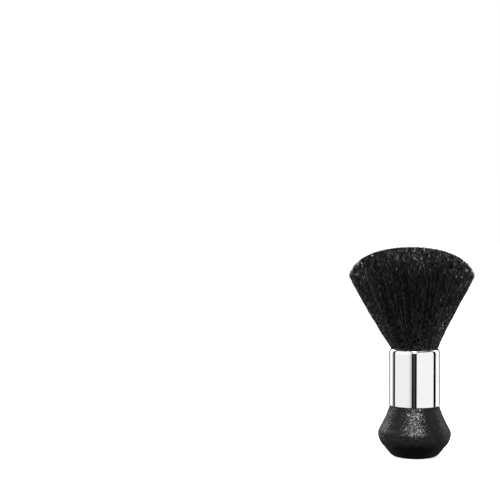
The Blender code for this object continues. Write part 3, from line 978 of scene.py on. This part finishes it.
def make_bundle():
    """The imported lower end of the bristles, inside the ferrule."""
    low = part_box("bristle_tuft")[0].z
    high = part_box("ferrule")[1].z - BUNDLE_SINK
    radius = BUNDLE_RADIUS - BUNDLE_GAP
    outline = [
        (0.0, low),
        (radius, low),
        (radius, high - BUNDLE_EDGE),
        (radius - BUNDLE_EDGE, high),
        (0.0, high),
    ]
    bundle = add_object("bristle_bundle", turned_mesh("bristle_bundle", outline, BUNDLE_SIDES))
    show(bundle, bundle_finish(), "bristle_tuft")


# ---------------------------------------------------------------- hidden pieces


def dress_hidden_nodes():
    """Materials for the pieces whose CAD shape is right as it is."""
    looks = {
        "bristle_root_puck": resin_finish(),
        "root_binding_cord": cord_finish(),
        "seat_disc": card_finish(),
        "ferrule_glue_band": adhesive_finish(),
        "ballast_weight": steel_finish(),
    }
    zinc = zinc_finish()
    looks["ballast_screw"] = zinc
    looks["ballast_washer"] = zinc
    for node, look in looks.items():
        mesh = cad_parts[node].data
        mesh.materials.clear()
        mesh.materials.append(look)


# ---------------------------------------------------------------- stage, lights and camera


def make_floor():
    """A plain pale floor, which lights nothing itself."""
    finish = Finish("studio_floor", roughness=0.9, specular=0.1)
    finish.set("Base Color", (0.9, 0.9, 0.9, 1.0))
    finish.set("Emission Color", (1.0, 1.0, 1.0, 1.0))
    finish.set("Emission Strength", FLOOR_GLOW)
    bm = bmesh.new()
    bmesh.ops.create_grid(bm, x_segments=1, y_segments=1, size=FLOOR_HALF_SIDE)
    mesh = bpy.data.meshes.new("studio_floor")
    bm.to_mesh(mesh)
    bm.free()
    mesh.materials.append(finish.material)
    floor = add_object("studio_floor", mesh)
    floor.location.z = CAD_LOW.z
    floor.visible_glossy = False
    floor.visible_diffuse = False


class Sky:
    """The studio round the brush, as brightness by direction."""

    def __init__(self):
        world = bpy.data.worlds.new("studio")
        world.use_nodes = True
        bpy.context.scene.world = world
        self.tree = world.node_tree
        self.tree.nodes.clear()
        where = self.tree.nodes.new("ShaderNodeTexCoord")
        split = self.tree.nodes.new("ShaderNodeSeparateXYZ")
        self.tree.links.new(where.outputs["Generated"], split.inputs["Vector"])
        backwards = self.maths("MULTIPLY", split.outputs["Y"], -1.0)
        azimuth = self.maths("ARCTAN2", split.outputs["X"], backwards)
        self.azimuth = self.maths("MULTIPLY", azimuth, 180.0 / math.pi)
        elevation = self.maths("ARCSINE", split.outputs["Z"])
        self.elevation = self.maths("MULTIPLY", elevation, 180.0 / math.pi)
        self.total = None

    def maths(self, operation, first, second=None):
        """One arithmetic node."""
        node = self.tree.nodes.new("ShaderNodeMath")
        node.operation = operation
        for value, socket in zip((first, second), node.inputs):
            if value is None:
                continue
            if isinstance(value, (int, float)):
                socket.default_value = value
            else:
                self.tree.links.new(value, socket)
        return node.outputs["Value"]

    def step(self, value, start, end):
        """Smooth rise from 0 at start to 1 at end; falls if start is above end."""
        node = self.tree.nodes.new("ShaderNodeMapRange")
        node.interpolation_type = "SMOOTHSTEP"
        low, high, rising = (start, end, 1.0) if start < end else (end, start, 0.0)
        node.inputs["From Min"].default_value = low
        node.inputs["From Max"].default_value = high
        node.inputs["To Min"].default_value = 1.0 - rising
        node.inputs["To Max"].default_value = rising
        self.tree.links.new(value, node.inputs["Value"])
        return node.outputs["Result"]

    def window(self, value, start, end, soft_start, soft_end):
        """1 between start and end, with soft edges."""
        rise = self.step(value, start - soft_start, start + soft_start)
        fall = self.step(value, end + soft_end, end - soft_end)
        return self.maths("MULTIPLY", rise, fall)

    def add(self, strength, azimuths, elevations, soft, soft_up):
        """A light field between two azimuths and two elevations, in degrees."""
        across = self.window(self.azimuth, *azimuths, *soft)
        up = self.window(self.elevation, *elevations, *soft_up)
        field = self.maths("MULTIPLY", self.maths("MULTIPLY", across, up), strength)
        self.total = field if self.total is None else self.maths("ADD", self.total, field)

    def finish(self):
        """White to the camera, the light fields to everything else."""
        path = self.tree.nodes.new("ShaderNodeLightPath")
        seen = self.maths("MULTIPLY", path.outputs["Is Camera Ray"], 1.0)
        hidden = self.maths("SUBTRACT", 1.0, seen)
        shown = self.maths("ADD", seen, self.maths("MULTIPLY", hidden, self.total))
        background = self.tree.nodes.new("ShaderNodeBackground")
        background.inputs["Color"].default_value = (1.0, 1.0, 1.0, 1.0)
        output = self.tree.nodes.new("ShaderNodeOutputWorld")
        self.tree.links.new(shown, background.inputs["Strength"])
        self.tree.links.new(background.outputs["Background"], output.inputs["Surface"])


def make_studio():
    """White panels round the brush, with gaps at the camera, at both sides and behind."""
    sky = Sky()
    for strength, azimuths, top, sides in PANELS:
        sky.add(strength, azimuths, (PANEL_FOOT, top), sides, PANEL_SOFT_UP)
        below = (FLOOR_FIELD_FOOT, PANEL_FOOT)
        sky.add(strength * FLOOR_SHARE, azimuths, below, sides, FLOOR_FIELD_SOFT_UP)
    for field in LIGHT_FIELDS:
        sky.add(*field)
    sky.finish()


def aim(thing, place, target):
    """Stand a camera or a light at a place, looking at a target."""
    thing.location = place
    thing.rotation_mode = "QUATERNION"
    thing.rotation_quaternion = (Vector(target) - Vector(place)).to_track_quat("-Z", "Y")


def make_key_light():
    """The softbox above the camera that draws the highlight down the handle."""
    light = bpy.data.lights.new("key_softbox", "AREA")
    light.shape = "RECTANGLE"
    light.size = KEY_SIDE
    light.size_y = KEY_SIDE
    light.energy = KEY_ENERGY
    softbox = bpy.data.objects.new("key_softbox", light)
    bpy.context.scene.collection.objects.link(softbox)
    aim(softbox, KEY_PLACE, KEY_AIM)


def make_camera():
    """The photograph's viewpoint."""
    data = bpy.data.cameras.new("camera")
    data.lens = CAMERA_LENS
    data.sensor_width = SENSOR_WIDTH
    data.clip_start = 0.01
    data.clip_end = 50.0
    camera = bpy.data.objects.new("camera", data)
    bpy.context.scene.collection.objects.link(camera)
    aim(camera, CAMERA_PLACE, CAMERA_AIM)
    bpy.context.scene.camera = camera


make_camera()
make_studio()
make_key_light()
make_floor()
make_foot_pad()
make_handle()
make_ferrule()
make_bundle()
make_bristles()
dress_hidden_nodes()
bpy.context.scene.view_settings.view_transform = "Standard"
